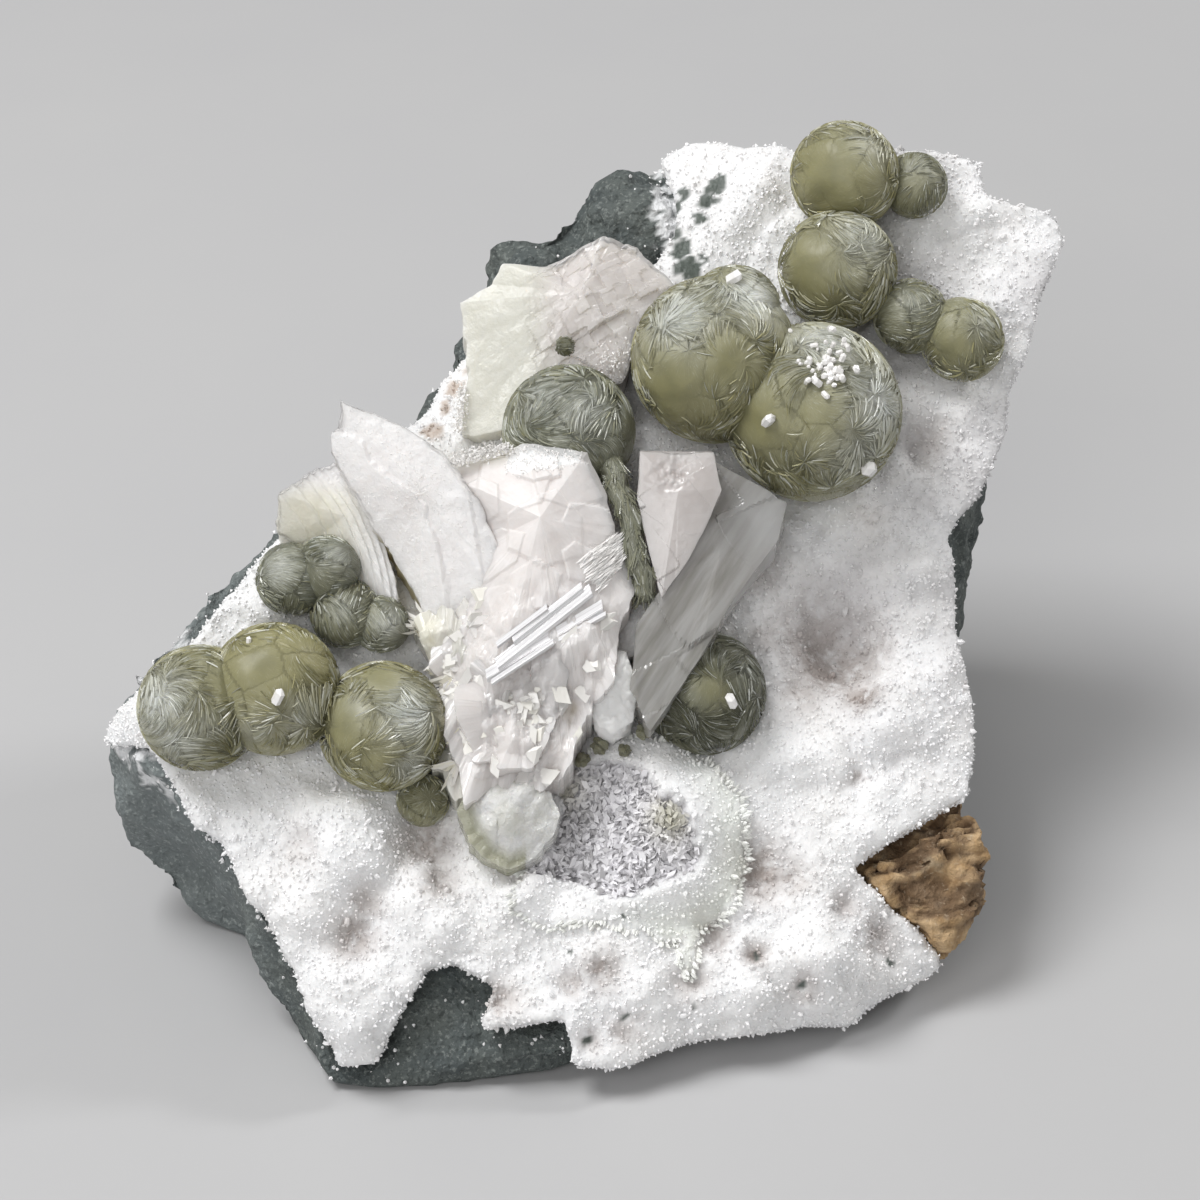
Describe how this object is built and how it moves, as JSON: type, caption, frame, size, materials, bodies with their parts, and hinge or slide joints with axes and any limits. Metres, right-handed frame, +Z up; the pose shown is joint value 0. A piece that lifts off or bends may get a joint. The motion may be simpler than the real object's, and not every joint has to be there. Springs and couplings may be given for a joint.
{
  "type": "mineral specimen",
  "caption": "Mineral specimen: olive balls of radiating gyrolite and pale calcite blades on a white drusy quartz crust over a basalt wedge, resting on its flat base.",
  "frame": {"origin": "on the resting plane, under the middle of the bounding box", "axes": "+X to the right as seen from the front, +Y to the back, +Z up; the crystal face looks to the front and up"},
  "size_m": [0.0879, 0.0697, 0.0642],
  "materials": {
    "basalt": "broken, fine-grained, dull, grey-green, with a weathered ochre patch",
    "quartz": "sugary white druse of tiny glassy crystals",
    "gyrolite": "silky olive blades that radiate, slightly translucent",
    "calcite": "pinkish white, translucent, stepped cleavage faces"
  },
  "bodies": {
    "root": {"basalt_matrix": "basalt", "quartz_crust": "quartz", "gyrolite_left_cluster": "gyrolite", "gyrolite_upper_left_cluster": "gyrolite", "gyrolite_centre_pair": "gyrolite", "gyrolite_middle_ball": "gyrolite", "gyrolite_tiny_ball": "gyrolite", "gyrolite_lower_right_ball": "gyrolite", "gyrolite_back_cluster": "gyrolite", "gyrolite_broken_lens": "gyrolite", "calcite_main_group": "calcite", "calcite_back_plate": "calcite"}
  },
  "joints": []
}
